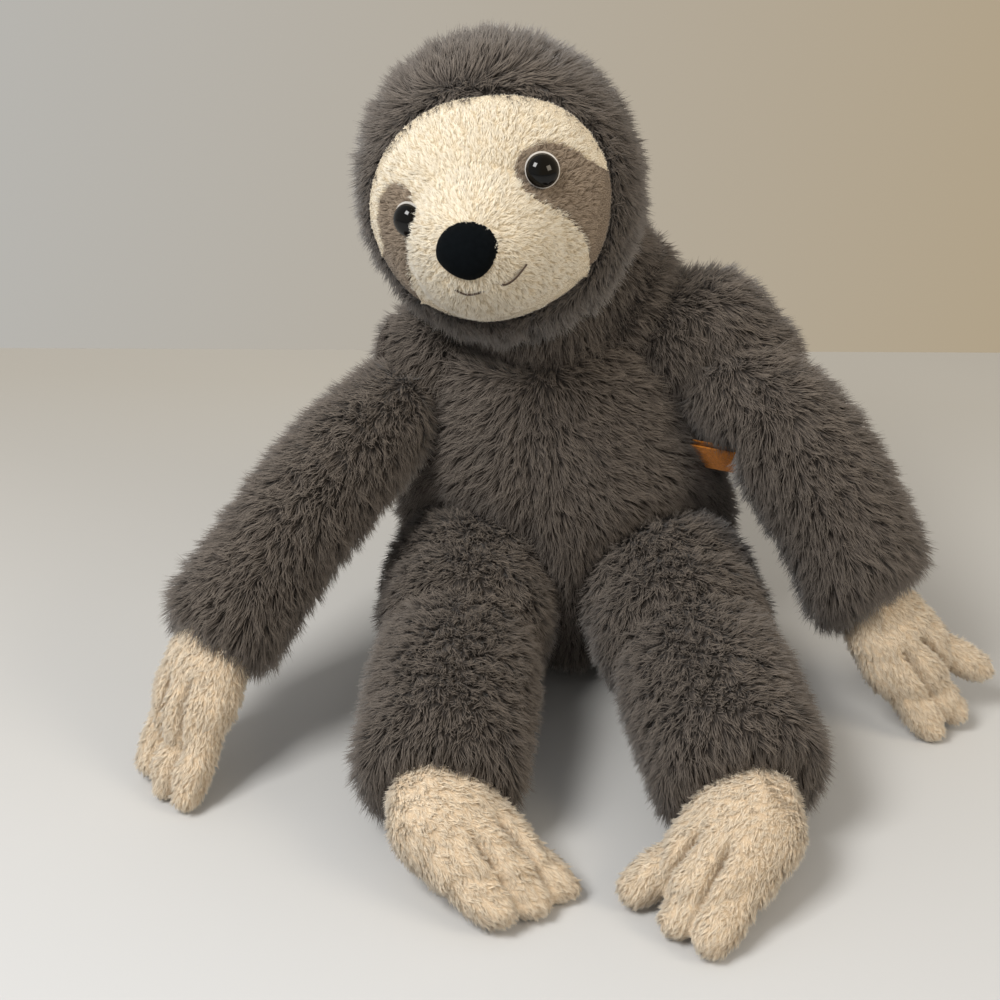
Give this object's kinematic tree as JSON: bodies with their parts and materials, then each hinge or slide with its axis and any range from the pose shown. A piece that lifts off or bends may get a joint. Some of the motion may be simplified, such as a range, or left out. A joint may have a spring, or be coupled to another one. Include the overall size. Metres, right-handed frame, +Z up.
{
  "type": "plush sloth",
  "caption": "Sitting plush sloth with long arms, fur covers over stuffed fillings, a pale face with glossy eyes and a padded nose, and turning head, arms, hands, legs and feet.",
  "frame": {"origin": "on the floor, in the flat under the seat", "axes": "+Z up, face towards -Y, +X towards the toy's own left side"},
  "size_m": [0.3795, 0.2859, 0.2967],
  "materials": {
    "fur": "long pile plush, matt",
    "cream": "short pile plush, matt",
    "taupe": "short pile plush, matt",
    "paw": "short pile plush, matt",
    "filling": "loose fibre wadding",
    "beans": "thin woven bag of pellets",
    "gloss": "polished",
    "nose_cloth": "matt brushed cloth",
    "ring": "matt felt",
    "washer": "moulded",
    "label": "woven, slight sheen",
    "thread": "twisted thread"
  },
  "bodies": {
    "torso": {"torso_cover": "fur", "torso_filling": "filling", "seat_bean_bag": "beans", "side_label": "label"},
    "neck": {"neck_seam": "thread"},
    "head": {"head_cover": "fur", "head_filling": "filling", "face_panel": "cream", "nose_cover": "nose_cloth", "nose_filling": "filling", "mouth_stitch": "thread", "eye_patch_left": "taupe", "eye_left": "gloss", "eye_ring_left": "ring", "eye_washer_left": "washer", "eye_patch_right": "taupe", "eye_right": "gloss", "eye_ring_right": "ring", "eye_washer_right": "washer"},
    "shoulder_left": {"arm_seam_left": "thread"},
    "arm_left": {"arm_cover_left": "fur", "arm_filling_left": "filling"},
    "hand_left": {"hand_cover_left": "paw", "hand_filling_left": "filling"},
    "hip_left": {"leg_seam_left": "thread"},
    "leg_left": {"leg_cover_left": "fur", "leg_filling_left": "filling"},
    "foot_left": {"foot_cover_left": "paw", "foot_filling_left": "filling"},
    "shoulder_right": {"arm_seam_right": "thread"},
    "arm_right": {"arm_cover_right": "fur", "arm_filling_right": "filling"},
    "hand_right": {"hand_cover_right": "paw", "hand_filling_right": "filling"},
    "hip_right": {"leg_seam_right": "thread"},
    "leg_right": {"leg_cover_right": "fur", "leg_filling_right": "filling"},
    "foot_right": {"foot_cover_right": "paw", "foot_filling_right": "filling"}
  },
  "joints": [
    {"name": "neck_nod", "type": "hinge", "parent": "torso", "child": "neck", "pos_m": [-0.01331, 0.00444, 0.16168], "axis": [1, 0, 0], "range_deg": [-12, 10]},
    {"name": "head_turn", "type": "hinge", "parent": "neck", "child": "head", "pos_m": [-0.01331, 0.00444, 0.16168], "axis": [0, 0, 1], "range_deg": [-25, 25]},
    {"name": "arm_lift_left", "type": "hinge", "parent": "torso", "child": "shoulder_left", "pos_m": [0.05156, 0.01145, 0.15604], "axis": [0, -1, 0], "range_deg": [0, 40]},
    {"name": "arm_swing_left", "type": "hinge", "parent": "shoulder_left", "child": "arm_left", "pos_m": [0.05156, 0.01145, 0.15604], "axis": [-1, 0, 0], "range_deg": [-10, 42]},
    {"name": "hand_flex_left", "type": "hinge", "parent": "arm_left", "child": "hand_left", "pos_m": [0.14332, -0.05769, 0.055], "axis": [0.6018, 0.7986, 0], "range_deg": [-20, 20]},
    {"name": "leg_spread_left", "type": "hinge", "parent": "torso", "child": "hip_left", "pos_m": [0.04958, -0.04106, 0.04982], "axis": [0, 0, 1], "range_deg": [0, 25]},
    {"name": "leg_lift_left", "type": "hinge", "parent": "hip_left", "child": "leg_left", "pos_m": [0.04958, -0.04106, 0.04982], "axis": [-1, 0, 0], "range_deg": [-20, 40]},
    {"name": "foot_flex_left", "type": "hinge", "parent": "leg_left", "child": "foot_left", "pos_m": [0.08388, -0.16907, 0.03], "axis": [0.9659, 0.2588, 0], "range_deg": [-15, 20]},
    {"name": "arm_lift_right", "type": "hinge", "parent": "torso", "child": "shoulder_right", "pos_m": [-0.05946, 0.00708, 0.14194], "axis": [0, 1, 0], "range_deg": [0, 12]},
    {"name": "arm_swing_right", "type": "hinge", "parent": "shoulder_right", "child": "arm_right", "pos_m": [-0.05946, 0.00708, 0.14194], "axis": [-1, 0, 0], "range_deg": [-10, 42]},
    {"name": "hand_flex_right", "type": "hinge", "parent": "arm_right", "child": "hand_right", "pos_m": [-0.14635, -0.11252, 0.058], "axis": [0.809, -0.5878, 0], "range_deg": [-20, 20]},
    {"name": "leg_spread_right", "type": "hinge", "parent": "torso", "child": "hip_right", "pos_m": [-0.04144, -0.04106, 0.04982], "axis": [0, 0, -1], "range_deg": [-5, 25]},
    {"name": "leg_lift_right", "type": "hinge", "parent": "hip_right", "child": "leg_right", "pos_m": [-0.04144, -0.04106, 0.04982], "axis": [-1, 0, 0], "range_deg": [-20, 40]},
    {"name": "foot_flex_right", "type": "hinge", "parent": "leg_right", "child": "foot_right", "pos_m": [-0.04379, -0.17544, 0.029], "axis": [0.9998, -0.0175, 0], "range_deg": [-15, 20]}
  ]
}
